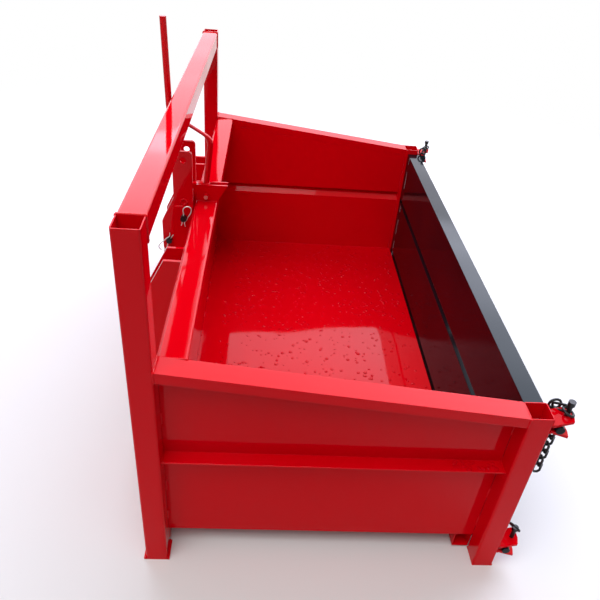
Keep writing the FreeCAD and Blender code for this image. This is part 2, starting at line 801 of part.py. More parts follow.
def make_gate_brackets():
    """Two plates that flare like a mouth hold each stub, and a lock pin behind it shuts them."""
    plates = []
    for name in ("lower", "upper"):
        for level, side in (("seat", "-"), ("roof", "")):
            piece = new_body("bracket_%s_%s" % (name, level))
            edge = new_sketch(piece, "XZ_Plane", "edge")
            draw_polygon(edge, [
                ("post_back", side + "mouth_half"),
                ("rear_reach", side + "mouth_rear"),
                ("rear_reach", side + "(mouth_rear + plate_high)"),
                ("post_back", side + "(mouth_half + plate_high)"),
            ])
            extrude(piece, edge, "bracket_wide")
            cuts = new_sketch(piece, "XY_Plane", "cuts")
            draw_circle(cuts, "lock_pin_x", "-bracket_wide / 2", "lock_pin_radius + lock_pin_play")
            for corner, outwards in (("0", ""), ("-bracket_wide", "-")):
                draw_polygon(cuts, [
                    ("rear_reach - 2 * bracket_clip_long", "%s + %sbracket_clip_wide" % (corner, outwards)),
                    ("rear_reach + bracket_clip_long", "%s + %sbracket_clip_wide" % (corner, outwards)),
                    ("rear_reach + bracket_clip_long",
                     "%s - 2 * (%sbracket_clip_wide)" % (corner, outwards)),
                ])
            cut_through(piece, cuts, "past_all")
            place(piece, "front_x", "-half_width + bracket_wide", name + "_stub_z")
            plates.append(piece)
    left = node(grouped("gate_brackets_left", plates))
    node(mirrored("gate_brackets_right", left))


def make_lock_pins():
    """Headed pins that drop through both plates of each bracket, behind the stub."""
    pins = []
    for name in ("lower", "upper"):
        pin = new_body(name + "_lock_pin")
        outline = new_sketch(pin, "XZ_Plane", "outline")
        draw_polygon(outline, [
            ("0", "lock_low"), ("lock_pin_radius", "lock_low"),
            ("lock_pin_radius", "lock_high - lock_head_high"),
            ("lock_head_radius", "lock_high - lock_head_high"),
            ("lock_head_radius", "lock_high"), ("0", "lock_high"),
        ])
        revolve(pin, outline)
        place(pin, "front_x + lock_pin_x", "-half_width + bracket_wide / 2", name + "_stub_z")
        pins.append(pin)
    left = node(grouped("lock_pins_left", pins))
    node(mirrored("lock_pins_right", left))


def make_chains():
    """A short chain welded under each upper bracket, every second link turned a quarter."""
    link = new_body("chain_link")
    path = new_sketch(link, "YZ_Plane", "path")
    side, end = "chain_side_path", "chain_half_path"
    draw_polygon(path, [
        ("0", "-" + end),
        (side + " - chain_bend", "-" + end),
        (side, "-%s + chain_bend" % end),
        (side, end + " - chain_bend"),
        (side + " - chain_bend", end),
        ("-%s + chain_bend" % side, end),
        ("-" + side, end + " - chain_bend"),
        ("-" + side, "-%s + chain_bend" % end),
        ("-%s + chain_bend" % side, "-" + end),
    ])
    wire = new_sketch(link, "XZ_Plane", "wire")
    draw_polygon(wire, [
        ("0", "chain_wire - " + end),
        ("-chain_wire_flat", "chain_wire / 2 - " + end),
        ("-chain_wire_flat", "-chain_wire / 2 - " + end),
        ("0", "-chain_wire - " + end),
        ("chain_wire_flat", "-chain_wire / 2 - " + end),
        ("chain_wire_flat", "chain_wire / 2 - " + end),
    ])
    doc.recompute()
    sweep(link, wire, path, "Right corner")
    hanging = []
    for number in range(CHAIN_LINKS):
        copy = doc.addObject("App::Link", "hanging_link_%d" % number)
        copy.LinkedObject = link
        quarter = 90 * (number % 2)
        copy.Placement = FreeCAD.Placement(Vector(0, 0, 0), FreeCAD.Rotation(Vector(0, 0, 1), quarter))
        place(copy, "front_x + chain_x", "-half_width + bracket_wide / 2",
              "chain_top - chain_long / 2 - %d * chain_pitch" % number)
        hanging.append(copy)
    doc.recompute()
    left = node(grouped("chain_left", hanging))
    node(mirrored("chain_right", left))


def main():
    make_uprights()
    make_head_tube()
    make_rear_posts()
    make_side_rails()
    make_side_panels()
    make_front_and_floor()
    make_underside()
    make_link_brackets()
    make_headstock()
    make_latch()
    make_lever_rod()
    make_tailgate()
    make_gate_brackets()
    make_lock_pins()
    make_chains()
    doc.recompute()
    check_and_write()


def check_and_write():
    """Stops on any failed feature, then writes one STEP file for each sub-part."""
    for thing in doc.Objects:
        if "Invalid" in thing.State or "Error" in thing.State:
            raise RuntimeError("%s failed: %s" % (thing.Label, thing.State))
    os.makedirs("parts", exist_ok=True)
    for piece in NODES:
        shape = piece.Shape
        if shape.isNull() or not shape.isValid() or not shape.Solids:
            raise RuntimeError("%s has no valid solid" % piece.Label)
        shape.exportStep("parts/%s.step" % piece.Label)
        box = shape.BoundBox
        print("%-22s %2d solids %9.1f cm3  x %.1f..%.1f y %.1f..%.1f z %.1f..%.1f" % (
            piece.Label, len(shape.Solids), shape.Volume / 1000,
            box.XMin, box.XMax, box.YMin, box.YMax, box.ZMin, box.ZMax))
    print(len(NODES), "sub-parts")


main()
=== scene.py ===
# %% [markdown]
# # A tractor's tipping transport box, dressed in enamel
# The steel parts come in finished from the engineering model. This lesson gives them a camera, a
# stage and light, then the finish of every surface, and last the small things that a builder of such
# a box adds: welds, spring clips, wire rings, nuts and washers, and the rain that stands on the floor.

# %% Load the frame
import bmesh
import bpy
import json
import math
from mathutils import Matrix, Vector


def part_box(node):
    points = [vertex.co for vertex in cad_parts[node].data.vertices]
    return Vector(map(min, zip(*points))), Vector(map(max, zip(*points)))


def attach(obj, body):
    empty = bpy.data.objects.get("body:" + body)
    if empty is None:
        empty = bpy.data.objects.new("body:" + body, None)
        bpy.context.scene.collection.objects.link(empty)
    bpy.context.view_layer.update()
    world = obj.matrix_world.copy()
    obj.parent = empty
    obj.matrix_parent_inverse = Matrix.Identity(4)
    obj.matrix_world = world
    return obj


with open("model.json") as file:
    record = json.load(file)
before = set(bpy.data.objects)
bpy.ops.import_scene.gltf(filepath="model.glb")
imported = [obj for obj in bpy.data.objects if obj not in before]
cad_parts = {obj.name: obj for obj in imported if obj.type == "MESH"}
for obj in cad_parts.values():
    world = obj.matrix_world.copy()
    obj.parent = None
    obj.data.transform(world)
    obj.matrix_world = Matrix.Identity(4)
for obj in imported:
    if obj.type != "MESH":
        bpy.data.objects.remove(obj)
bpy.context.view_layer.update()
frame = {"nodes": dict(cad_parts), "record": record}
nodes = frame["nodes"]
scene = bpy.context.scene
MM = 0.001

# %% [markdown]
# ## Camera
# The box is seen from beside its near end, from the eye height of a person who stands close to it. A
# long lens would flatten it, so this one is fairly wide and sees a little over 52 degrees. Blender
# turns a camera about X, then Y, then Z. A small Y value tilts the horizon, as a camera held by hand
# does, and makes the uprights lean.

# %% Camera
CAMERA_PLACE = (-0.1908, -1.9126, 1.6313)       # metres
CAMERA_TURN = (55.476, -4.233, -1.482)          # degrees about X, Y and Z
CAMERA_LENS_MM, CAMERA_SENSOR_MM = 36.49, 36.0
CAMERA_SHIFT = (0.0043, -0.0070)                # shares of the picture's width

camera_data = bpy.data.cameras.new("camera")
camera_data.lens = CAMERA_LENS_MM
camera_data.sensor_width = CAMERA_SENSOR_MM
camera_data.shift_x, camera_data.shift_y = CAMERA_SHIFT
camera = bpy.data.objects.new("camera", camera_data)
camera.location = CAMERA_PLACE
camera.rotation_euler = [math.radians(turn) for turn in CAMERA_TURN]
scene.collection.objects.link(camera)
scene.camera = camera
scene.view_settings.view_transform = "Standard"
print("camera at", CAMERA_PLACE)

# %% [markdown]
# ## Helpers for materials
# Colours are written as the hex values that a paint chart gives. Shaders want linear light, so one
# function turns hex into linear values. Another adds a node, sets it up and links it, and every
# material and every tree below is written with it.

# %% Helpers for materials
PLAIN_WHITE = "#FFFFFF"


def colour(hex_text):
    """#RRGGBB to linear red, green, blue and alpha."""
    channels = [int(hex_text[i:i + 2], 16) / 255 for i in (1, 3, 5)]
    return [c / 12.92 if c <= 0.04045 else ((c + 0.055) / 1.055) ** 2.4 for c in channels] + [1.0]


def add(tree, kind, settings=None, **inputs):
    """Adds a node. settings are its own properties. Each input is named by its label, with _ for a
    space, or by _ and its number, and is a value or a link, written as (node, output)."""
    node = tree.nodes.new(kind)
    for name, value in (settings or {}).items():
        setattr(node, name, value)
    for name, value in inputs.items():
        key = int(name[1:]) if name[0] == "_" else name.replace("_", " ")
        if isinstance(value, tuple) and isinstance(value[0], bpy.types.Node):
            tree.links.new(value[0].outputs[value[1]], node.inputs[key])
        else:
            node.inputs[key].default_value = value
    return node


def new_material(name):
    """An empty material and its tree."""
    material = bpy.data.materials.new(name)
    material.use_nodes = True
    material.node_tree.nodes.clear()
    return material, material.node_tree


print("helpers ready, white is", colour(PLAIN_WHITE))

# %% [markdown]
# ## Floor and sky
# The floor is pale and keeps the shadow under the box. Further out it fades into plain white, and the
# world behind it is as white. A white wall would do that too, but it would throw light on the enamel.
# So only the camera and mirror-like rays see the white, and rays that carry light find no light on the
# far floor and a weak fill in the world.

# %% Rays that see the white
def seen_ray(tree):
    """1 for rays of the camera, of reflections and through glass, 0 for rays that carry light."""
    path = add(tree, "ShaderNodeLightPath")
    seen = add(tree, "ShaderNodeMath", {"operation": "MAXIMUM"}, _0=(path, "Is Camera Ray"),
               _1=(path, "Is Glossy Ray"))
    return add(tree, "ShaderNodeMath", {"operation": "MAXIMUM"}, _0=(seen, 0),
               _1=(path, "Is Transmission Ray"))


print("white is seen by camera, glossy and transmission rays")

# %% Floor
FLOOR_SIZE = 40.0                   # metres
FLOOR_COLOUR = "#DCDCDC"
FADE_FROM, FADE_TO = 1.6, 4.2       # metres from the middle of the box

floor_material, tree = new_material("pale_studio_floor")
where = add(tree, "ShaderNodeTexCoord")
far_off = add(tree, "ShaderNodeVectorMath", {"operation": "LENGTH"}, _0=(where, "Object"))
fade = add(tree, "ShaderNodeMapRange", {"interpolation_type": "SMOOTHSTEP"}, _0=(far_off, "Value"),
           _1=FADE_FROM, _2=FADE_TO)
ground = add(tree, "ShaderNodeBsdfPrincipled", Base_Color=colour(FLOOR_COLOUR), Roughness=0.9,
             Specular_IOR_Level=0.1)
white = add(tree, "ShaderNodeEmission", Color=colour(PLAIN_WHITE), Strength=(seen_ray(tree), 0))
shade = add(tree, "ShaderNodeMixShader", _0=(fade, 0), _1=(ground, 0), _2=(white, 0))
tree.links.new(shade.outputs[0], add(tree, "ShaderNodeOutputMaterial").inputs[0])

half = FLOOR_SIZE / 2
floor_mesh = bpy.data.meshes.new("studio_floor")
floor_mesh.from_pydata([(-half, -half, 0), (half, -half, 0), (half, half, 0), (-half, half, 0)], [],
                       [(0, 1, 2, 3)])
floor_mesh.materials.append(floor_material)
studio_floor = bpy.data.objects.new("studio_floor", floor_mesh)
scene.collection.objects.link(studio_floor)
print("floor", FLOOR_SIZE, "m, fading from", FADE_FROM, "to", FADE_TO)

# %% World
SKY_FILL = 0.25                     # the light that the world gives

world = bpy.data.worlds.new("white_studio")
world.use_nodes = True
tree = world.node_tree
tree.nodes.clear()
strength = add(tree, "ShaderNodeMapRange", _0=(seen_ray(tree), 0), _3=SKY_FILL, _4=1.0)
sky = add(tree, "ShaderNodeBackground", Color=colour(PLAIN_WHITE), Strength=(strength, 0))
tree.links.new(sky.outputs[0], add(tree, "ShaderNodeOutputWorld").inputs[0])
scene.world = world
print("world fill", SKY_FILL)

# %% [markdown]
# ## Lamps
# Gloss enamel shows what stands around it. Its level faces mirror the open sky beyond the box, which
# is why rail tops look pink while upright faces keep their full colour. A picture of a sky could
# light it too, but a few lamps are plainer and can be moved one by one. Two very large ones stand
# beyond the box, one above the other, and their glow changes evenly over the face, as a cloudy sky's
# does. A third one, above the viewer's side, gives the near faces their light.

# %% Lamps
SKY_TINT = "#ECECFF"
LOOKS_AT = (0.0, 0.0, 0.5)          # metres: the middle of the box
LAMPS = {
    # name: (place in metres, width, height, watts, tint, glow at its left, right, bottom and top)
    "high_sky": ((0.6, 4.2, 5.4), 15.0, 5.4, 1200.0, SKY_TINT, 0.35, 1.9, 0.45, 1.15),
    "low_sky": ((0.0, 6.5, 1.9), 15.0, 3.7, 266.0, SKY_TINT, 1.0, 1.0, 1.5, 0.7),
    "viewer_side": ((-1.3, -2.5, 5.6), 4.0, 4.0, 245.0, PLAIN_WHITE, 1.0, 1.0, 1.0, 1.0),
}


def glow_over_face(data, left, right, low, high):
    """Lets a lamp's glow change evenly. Its own face counts from the right and from the top."""
    data.use_nodes = True
    tree = data.node_tree
    tree.nodes.clear()
    face = add(tree, "ShaderNodeSeparateXYZ", _0=(add(tree, "ShaderNodeNewGeometry"), "Parametric"))
    sideways = add(tree, "ShaderNodeMapRange", _0=(face, 0), _3=right, _4=left)
    upward = add(tree, "ShaderNodeMapRange", _0=(face, 1), _3=high, _4=low)
    product = add(tree, "ShaderNodeMath", {"operation": "MULTIPLY"}, _0=(sideways, 0), _1=(upward, 0))
    glow = add(tree, "ShaderNodeEmission", Strength=(product, 0))
    tree.links.new(glow.outputs[0], add(tree, "ShaderNodeOutputLight").inputs[0])


for name, (place, width, height, watts, tint, *glow_at_edges) in LAMPS.items():
    data = bpy.data.lights.new(name, "AREA")
    data.shape = "RECTANGLE"
    data.size, data.size_y = width, height
    data.energy = watts
    data.color = colour(tint)[:3]
    glow_over_face(data, *glow_at_edges)
    lamp = bpy.data.objects.new(name, data)
    lamp.location = place
    lamp.rotation_euler = (Vector(LOOKS_AT) - Vector(place)).to_track_quat("-Z", "Y").to_euler()
    lamp.visible_camera = False
    scene.collection.objects.link(lamp)
print("lamps:", ", ".join(LAMPS))

# %% [markdown]
# ## Enamel
# The box is welded, blasted and sprayed with a two-pack gloss enamel, red on the box and black on its
# tailgate, a film about 0.1 mm thick that flows a little before it sets. It is smooth enough to
# mirror the sky, so its roughness is low. A clear coat over a duller paint would look alike, but this
# enamel is one film, and so it is one plain shader. Faint orange peel, waves a few millimetres
# across, breaks up the reflections, thin sheet is a little uneven after welding, and the film rounds
# every cut edge so that it catches a bright line. The black film's reflections are faintly blue.

# %% Enamel materials
ORANGE_PEEL_MM = 4.0        # width of one wave of the sprayed film
PEEL_HEIGHT_MM = 0.4        # drawn higher than the real film, so that it shows
SHEET_WAVE_MM = 260.0       # slow unevenness of thin sheet after welding
PEEL, WAVE = 0.03, 0.015    # how strongly each shows
EDGE_ROUND_MM = 1.6         # radius that paint gives a cut edge
CLOUDS_PER_METRE = 3.0      # faint drift of the tone over a panel


def enamel(name, main, deep, roughness, specular, sheen=PLAIN_WHITE):
    """Sprayed gloss paint on sheet steel: even colour, orange peel and paint-rounded edges."""
    material, tree = new_material(name)
    where = add(tree, "ShaderNodeTexCoord")
    cloudy = add(tree, "ShaderNodeTexNoise", Vector=(where, "Object"), Scale=CLOUDS_PER_METRE,
                 Detail=3.0)
    tone = add(tree, "ShaderNodeMix", {"data_type": "RGBA"}, Factor=(cloudy, "Fac"), A=colour(deep),
               B=colour(main))
    fine = add(tree, "ShaderNodeTexNoise", Vector=(where, "Object"), Scale=1000 / ORANGE_PEEL_MM,
               Detail=2.0)
    slow = add(tree, "ShaderNodeTexNoise", Vector=(where, "Object"), Scale=1000 / SHEET_WAVE_MM,
               Detail=0.0)
    edge = add(tree, "ShaderNodeBevel", {"samples": 4}, Radius=EDGE_ROUND_MM * MM)
    waved = add(tree, "ShaderNodeBump", Height=(slow, "Fac"), Strength=WAVE,
                Distance=SHEET_WAVE_MM * MM, Normal=(edge, 0))
    peeled = add(tree, "ShaderNodeBump", Height=(fine, "Fac"), Strength=PEEL,
                 Distance=PEEL_HEIGHT_MM * MM, Normal=(waved, 0))
    shade = add(tree, "ShaderNodeBsdfPrincipled", Base_Color=(tone, "Result"), Roughness=roughness,
                Specular_IOR_Level=specular, Specular_Tint=colour(sheen), Normal=(peeled, 0))
    tree.links.new(shade.outputs[0], add(tree, "ShaderNodeOutputMaterial").inputs[0])
    return material


red_enamel = enamel("gloss_red_enamel", "#D2000F", "#CA000D", 0.05, 0.10)
black_enamel = enamel("gloss_black_enamel", "#0A0D11", "#0C1016", 0.10, 0.12, sheen="#DEFAFF")
print("enamels:", red_enamel.name, black_enamel.name)

# %% [markdown]
# ## Plated and blackened steel
# The latch's pivot and the spring clips are zinc plated: a thin dull-silver coat whose tone drifts a
# little. Link pins, lock pins, chains and their rings are blackened in a hot bath, which leaves them
# dark and a little oily, with brighter wear. Both are steel under a thin coat, so one function makes
# them, and a noise a few millimetres wide changes tone and roughness together.

# %% Metal materials
WEAR = 0.3                  # share by which the roughness drifts
MOTTLE, MOTTLE_HEIGHT_MM = 0.08, 0.5


def coated_steel(name, main, spot, metal, roughness, mottle_mm):
    """Steel with a thin coat whose tone drifts over a few millimetres."""
    material, tree = new_material(name)
    where = add(tree, "ShaderNodeTexCoord")
    mottle = add(tree, "ShaderNodeTexNoise", Vector=(where, "Object"), Scale=1000 / mottle_mm,
                 Detail=4.0)
    tone = add(tree, "ShaderNodeMix", {"data_type": "RGBA"}, Factor=(mottle, "Fac"), A=colour(main),
               B=colour(spot))
    rough = add(tree, "ShaderNodeMapRange", _0=(mottle, "Fac"), _3=roughness * (1 - WEAR),
                _4=roughness * (1 + WEAR))
    bump = add(tree, "ShaderNodeBump", Height=(mottle, "Fac"), Strength=MOTTLE,
               Distance=MOTTLE_HEIGHT_MM * MM)
    shade = add(tree, "ShaderNodeBsdfPrincipled", Base_Color=(tone, "Result"), Roughness=(rough, 0),
                Metallic=metal, Normal=(bump, 0))
    tree.links.new(shade.outputs[0], add(tree, "ShaderNodeOutputMaterial").inputs[0])
    return material


zinc_plate = coated_steel("zinc_plated_steel", "#DEDCD6", "#BDBDB8", 1.0, 0.32, 6.0)
blackened_steel = coated_steel("blackened_steel", "#141517", "#26282B", 0.6, 0.30, 4.0)
print("metals:", zinc_plate.name, blackened_steel.name)

# %% [markdown]
# ## Rain water
# A bead of rain on gloss paint shows the paint through it, but it stops the paint from mirroring the
# sky, so it looks like a darker spot with one small highlight. Clear water would let the sky's mirror
# image through from the enamel below, so the bead is a red body that reflects very little. It gives
# just that spot, and it stays free of noise.

# %% Water material
rain_water, tree = new_material("rain_over_red_enamel")
shade = add(tree, "ShaderNodeBsdfPrincipled", Base_Color=colour("#C8000F"), Roughness=0.02,
            Specular_IOR_Level=0.1)
tree.links.new(shade.outputs[0], add(tree, "ShaderNodeOutputMaterial").inputs[0])
print("water:", rain_water.name)

# %% [markdown]
# ## Finishes on the steel parts
# The record names a finish for each steel part: enamel on all that is sprayed, and plated or
# blackened steel on what is put in afterwards. The parts' meshes stay as they come, and each gets its
# material in its one slot.

# %% Finishes on the steel parts
FINISHES = {
    "red_enamel": red_enamel,
    "black_enamel": black_enamel,
    "zinc_plate": zinc_plate,
    "black_chain": blackened_steel,
}
for part in frame["record"]["subparts"]:
    steel = nodes[part["node"]]
    steel.data.materials.clear()
    steel.data.materials.append(FINISHES[part["material_slot"]])

# %% [markdown]
# ## Places on the box
# The engineer's drawing measures from the front face of the uprights, in millimetres. Numbers copied
# from it would go wrong when a part grows, so the places are read from the finished parts, and a weld
# stays in its corner. Where a part's outer limits don't show a size, as with the side panel's rib, it
# is written down.

# %% Helpers for places
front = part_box("upright_left")[0][0]        # metres: the front face of the uprights


def edges(node):
    """A part's lowest and highest corner in millimetres, x counted from the uprights' front face."""
    low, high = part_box(node)
    return [[(corner[0] - front) / MM, corner[1] / MM, corner[2] / MM] for corner in (low, high)]


def across(node):
    """A part's lowest and highest y in millimetres."""
    return [corner[1] for corner in edges(node)]


def bar(node):
    """The x and z of the middle of a round part that lies across the box, and its radius."""
    low, high = edges(node)
    return (low[0] + high[0]) / 2, (low[2] + high[2]) / 2, (high[0] - low[0]) / 2


print("front of the uprights at", round(front, 4), "m")

# %% Places read from the parts
SHEET_MM = 3.0                              # a side panel
RIB_TOP_MM, RIB_RISE_MM = 393.0, 47.0       # its rib's level top, and the height of the slope below

outside, inside = [abs(y) for y in across("upright_left")]
tube = edges("upright_left")[1][0]          # the uprights' rear face, so also their tube's width
foot_top = edges("foot_plates")[1][2]
(post_front, _, _), (post_back, _, post_top) = edges("rear_post_left")
rail_top = edges("side_rail_left")[1][2]
(_, _, tube_low), (_, _, tube_top) = edges("head_tube")
rail_back, _, front_rail_top = edges("front_rail")[1]
floor_back, _, floor_top = edges("floor")[1]
wall_front, _, wall_low = edges("front_wall")[0]
rib_nose = abs(edges("side_panel_left")[0][1])
panel_face, rib_top, rib_low = inside + SHEET_MM, RIB_TOP_MM, RIB_TOP_MM - RIB_RISE_MM
stub_x, _, stub_radius = bar("gate_stubs_left")
stub_heights = [edges("gate_stubs_left")[0][2] + stub_radius, edges("gate_stubs_left")[1][2] - stub_radius]
print("tube", round(tube), "inside", round(inside), "post front", round(post_front),
      "stubs at", [round(z) for z in stub_heights])

# %% [markdown]
# ## Growing pieces with Geometry Nodes
# A weld, a spring clip and a shower of drops each repeat a small shape along a path or over a face.
# A node tree does that from a few lines or rectangles. One helper makes a tree with named inputs, one
# closes it, and one runs it once and keeps the result as a plain mesh.

# %% Helpers for node trees
def new_tree(name, inputs):
    """A geometry tree with named number inputs; returns it with its input and output nodes."""
    tree = bpy.data.node_groups.new(name, "GeometryNodeTree")
    tree.interface.new_socket("Geometry", in_out="OUTPUT", socket_type="NodeSocketGeometry")
    tree.interface.new_socket("Geometry", in_out="INPUT", socket_type="NodeSocketGeometry")
    for label in inputs:
        tree.interface.new_socket(label, in_out="INPUT", socket_type="NodeSocketFloat")
    return tree, add(tree, "NodeGroupInput"), add(tree, "NodeGroupOutput")


def finish_tree(tree, shape, material, end):
    """Closes a tree with smooth shading, real geometry and a material."""
    smooth = add(tree, "GeometryNodeSetShadeSmooth", Geometry=shape)
    real = add(tree, "GeometryNodeRealizeInstances", Geometry=(smooth, 0))
    painted = add(tree, "GeometryNodeSetMaterial", Geometry=(real, 0), Material=material)
    tree.links.new(painted.outputs[0], end.inputs[0])


def grow(name, tree, sizes, mesh, body):
    """Runs a tree on a mesh and keeps the result as a piece of that body."""
    seed = bpy.data.objects.new(name + "_seed", mesh)
    scene.collection.objects.link(seed)
    modifier = seed.modifiers.new(tree.name, "NODES")
    modifier.node_group = tree
    for socket in tree.interface.items_tree:
        if socket.in_out == "INPUT" and socket.name in sizes:
            modifier[socket.identifier] = sizes[socket.name]
    ready = seed.evaluated_get(bpy.context.evaluated_depsgraph_get())
    piece = bpy.data.objects.new(name, bpy.data.meshes.new_from_object(ready))
    piece.data.name = name
    bpy.data.objects.remove(seed)
    scene.collection.objects.link(piece)
    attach(piece, body)
    print(name, "on", body, "-", sum(len(face.vertices) - 2 for face in piece.data.polygons), "triangles")
    return piece


print("tree helpers ready")

# %% Helpers for lines
CIRCLE_POINTS, SMALL_CIRCLE_POINTS = 36, 24


def lines(name, runs):
    """A mesh of lines from runs of (x, y, z) points in the drawing's millimetres."""
    points, pairs = [], []
    for run in runs:
        first = len(points)
        points += [(front + x * MM, y * MM, z * MM) for x, y, z in run]
        pairs += [(first + i, first + i + 1) for i in range(len(run) - 1)]
    mesh = bpy.data.meshes.new(name)
    mesh.from_pydata(points, pairs, [])
    return mesh


def round_turns(count):
    """Angles in count even steps, once round and back to the first."""
    return [2 * math.pi * i / count for i in range(count + 1)]


def circle(x, y, z, radius):
    """A closed run round a bar that lies across the box."""
    return [(x + radius * math.cos(turn), y, z + radius * math.sin(turn))
            for turn in round_turns(CIRCLE_POINTS)]


def both(runs):
    """The same runs on this side and on the other."""
    return runs + [[(x, -y, z) for x, y, z in run] for run in runs]


print("line helpers ready")

# %% [markdown]
# ## Weld beads
# Steel plates are joined by fillet welds: a bead a few millimetres wide that stands in the corner and
# shows the welder's ripples under the paint. Ripples could be a bump in the paint, but a bead catches
# light along its whole outline. So a tube is swept along each line, and its radius swells and shrinks
# with the length travelled.

# %% Weld tree
POINTS_PER_RIPPLE = 4.0
RIPPLE_DEPTH = 0.12         # share by which the radius swells and shrinks

weld_tree, start, end = new_tree("weld_bead", ["Radius", "Ripple"])
line = add(weld_tree, "GeometryNodeMeshToCurve", Mesh=(start, "Geometry"))
step = add(weld_tree, "ShaderNodeMath", {"operation": "DIVIDE"}, _0=(start, "Ripple"),
           _1=POINTS_PER_RIPPLE)
even = add(weld_tree, "GeometryNodeResampleCurve", {"mode": "LENGTH"}, Curve=(line, 0), Length=(step, 0))
travelled = add(weld_tree, "GeometryNodeSplineParameter")
ripples = add(weld_tree, "ShaderNodeMath", {"operation": "DIVIDE"}, _0=(travelled, "Length"),
              _1=(start, "Ripple"))
angle = add(weld_tree, "ShaderNodeMath", {"operation": "MULTIPLY"}, _0=(ripples, 0), _1=2 * math.pi)
wave = add(weld_tree, "ShaderNodeMath", {"operation": "SINE"}, _0=(angle, 0))
swell = add(weld_tree, "ShaderNodeMath", {"operation": "MULTIPLY_ADD"}, _0=(wave, 0),
            _1=RIPPLE_DEPTH, _2=1.0)
radius = add(weld_tree, "ShaderNodeMath", {"operation": "MULTIPLY"}, _0=(swell, 0),
             _1=(start, "Radius"))
ring = add(weld_tree, "GeometryNodeCurvePrimitiveCircle", Resolution=6, Radius=1.0)
bead = add(weld_tree, "GeometryNodeCurveToMesh", Curve=(even, 0), Profile_Curve=(ring, 0),
           Scale=(radius, 0), Fill_Caps=True)
finish_tree(weld_tree, (bead, 0), red_enamel, end)
print("weld tree:", len(weld_tree.nodes), "nodes")

# %% [markdown]
# ## Welds of the box
# Tubes are welded all round where they meet. Thin sheet would warp under one long seam, so its seams
# are stitched, with a short bead every so often. Every bead is a line between places that were read
# from the parts, or that lie a written size away from them.

# %% Stitches
WELD_MM, RIPPLE_MM = 3.2, 6.0           # a bead's radius, and the length of one ripple
STITCH_MM, PITCH_MM = 38.0, 120.0
WELD = {"Radius": WELD_MM * MM, "Ripple": RIPPLE_MM * MM}


def stitches(a, b):
    """Short beads along a seam from a to b."""
    a, b = Vector(a), Vector(b)
    count = max(1, int((b - a).length // PITCH_MM))
    along = (b - a).normalized() * STITCH_MM / 2
    middles = [a.lerp(b, (i + 0.5) / count) for i in range(count)]
    return [[tuple(middle - along), tuple(middle + along)] for middle in middles]


print("stitches of", STITCH_MM, "mm every", PITCH_MM, "mm")

# %% Welds of the box
RAIL_HIGH_MM = 30.0
rail_low, front_rail_low = rail_top - RAIL_HIGH_MM, front_rail_top - RAIL_HIGH_MM
panel_top = post_top - RAIL_HIGH_MM         # the side panels end under their rails
box_welds = both([
    # side rail to upright and to rear post
    [(tube, inside, rail_top), (tube, outside, rail_top), (tube, outside, rail_low)],
    [(tube, inside, rail_top), (tube, inside, front_rail_top)],
    [(post_front, outside, post_top), (post_front, outside, panel_top)],
    # front rail to side rail
    [(tube, inside, front_rail_top), (rail_back, inside, front_rail_top),
     (rail_back, inside, front_rail_low)],
    # head tube to upright, all round
    [(0, inside, tube_top), (tube, inside, tube_top), (tube, inside, tube_low), (0, inside, tube_low),
     (0, inside, tube_top)],
    # upright to foot plate
    [(0, outside, foot_top), (0, inside, foot_top), (tube, inside, foot_top), (tube, outside, foot_top)],
])
# side panel to upright and to rear post
for x in (tube, post_front):
    box_welds += both(stitches((x, panel_face, floor_top), (x, panel_face, panel_top)))
    box_welds += both([[(x, panel_face, rib_low), (x, rib_nose, rib_top), (x, panel_face, rib_top)]])
# floor to side panel and to front wall, and front wall to its sill
box_welds += both(stitches((tube, inside, floor_top), (floor_back, inside, floor_top)))
box_welds += stitches((tube, -inside, floor_top), (tube, inside, floor_top))
box_welds += stitches((wall_front, -inside, wall_low), (wall_front, inside, wall_low))
print("runs of weld on the box:", len(box_welds))

# %% [markdown]
# ## Welds of the brackets
# What carries load stands on plates that are welded to the box: the lower link brackets, the
# tailgate's stubs and mouths, the cheeks that hold the latch and the first link of each chain. The
# runs join those above, because one piece of welds for each body is enough.

# %% Welds of the brackets
LINK_PLATE_MM = 10.0
MOUTH_MM = 12.3         # from a stub's axis to the outside of the mouth, at the post
CHAIN_BEAD_MM = 8.0     # half of the bead that holds a chain's first link

(_, link_outer, plate_low), (_, link_inner, plate_top) = edges("link_bracket_left")
link_outer, link_inner = abs(link_outer), abs(link_inner)
tip_x, tip_z, tip_radius = bar("tipping_tube")
for face in (link_outer, link_outer - LINK_PLATE_MM, link_inner + LINK_PLATE_MM, link_inner):
    box_welds += both(stitches((wall_front, face, plate_low), (wall_front, face, plate_top)))
box_welds += both([circle(tip_x, link_inner, tip_z, tip_radius)])

ear_outer = abs(across("tailgate_ends")[0])
mouth_outer, mouth_inner = [abs(y) for y in across("gate_brackets_left")]
for stub_z in stub_heights:
    box_welds += both([circle(stub_x, ear_outer, stub_z, stub_radius)])
    for z in (stub_z + MOUTH_MM, stub_z - MOUTH_MM):
        box_welds += both([[(post_back, mouth_outer, z), (post_back, mouth_inner, z)]])

cheek_x, cheek_y = edges("latch_cheeks")[0][0], abs(across("latch_cheeks")[0])
box_welds += both([[(cheek_x + WELD_MM, cheek_y, front_rail_top), (rail_back, cheek_y, front_rail_top)]])
chain_low, (chain_high, _, chain_top) = edges("chain_left")[0][0], edges("chain_left")[1]
chain_x, chain_y = (chain_low + chain_high) / 2, abs(sum(across("chain_left"))) / 2
box_welds += both([[(chain_x, chain_y - CHAIN_BEAD_MM, chain_top),
                    (chain_x, chain_y + CHAIN_BEAD_MM, chain_top)]])
grow("welds_of_box", weld_tree, WELD, lines("box_weld_lines", box_welds), "box")

# %% [markdown]
# ## Welds of the headstock and the lever
# The headstock tips and the lever turns, so their beads are pieces of their own that ride with them.
# Doublers, sleeve, catch pin and web are welded to the two tower plates, and the lever's round bar
# stands in a ring of weld on top of its hook.

# %% Welds of the headstock
DOUBLER_TOP_FRONT_MM = -12.0        # where the doublers' top edge starts, behind their cut corner

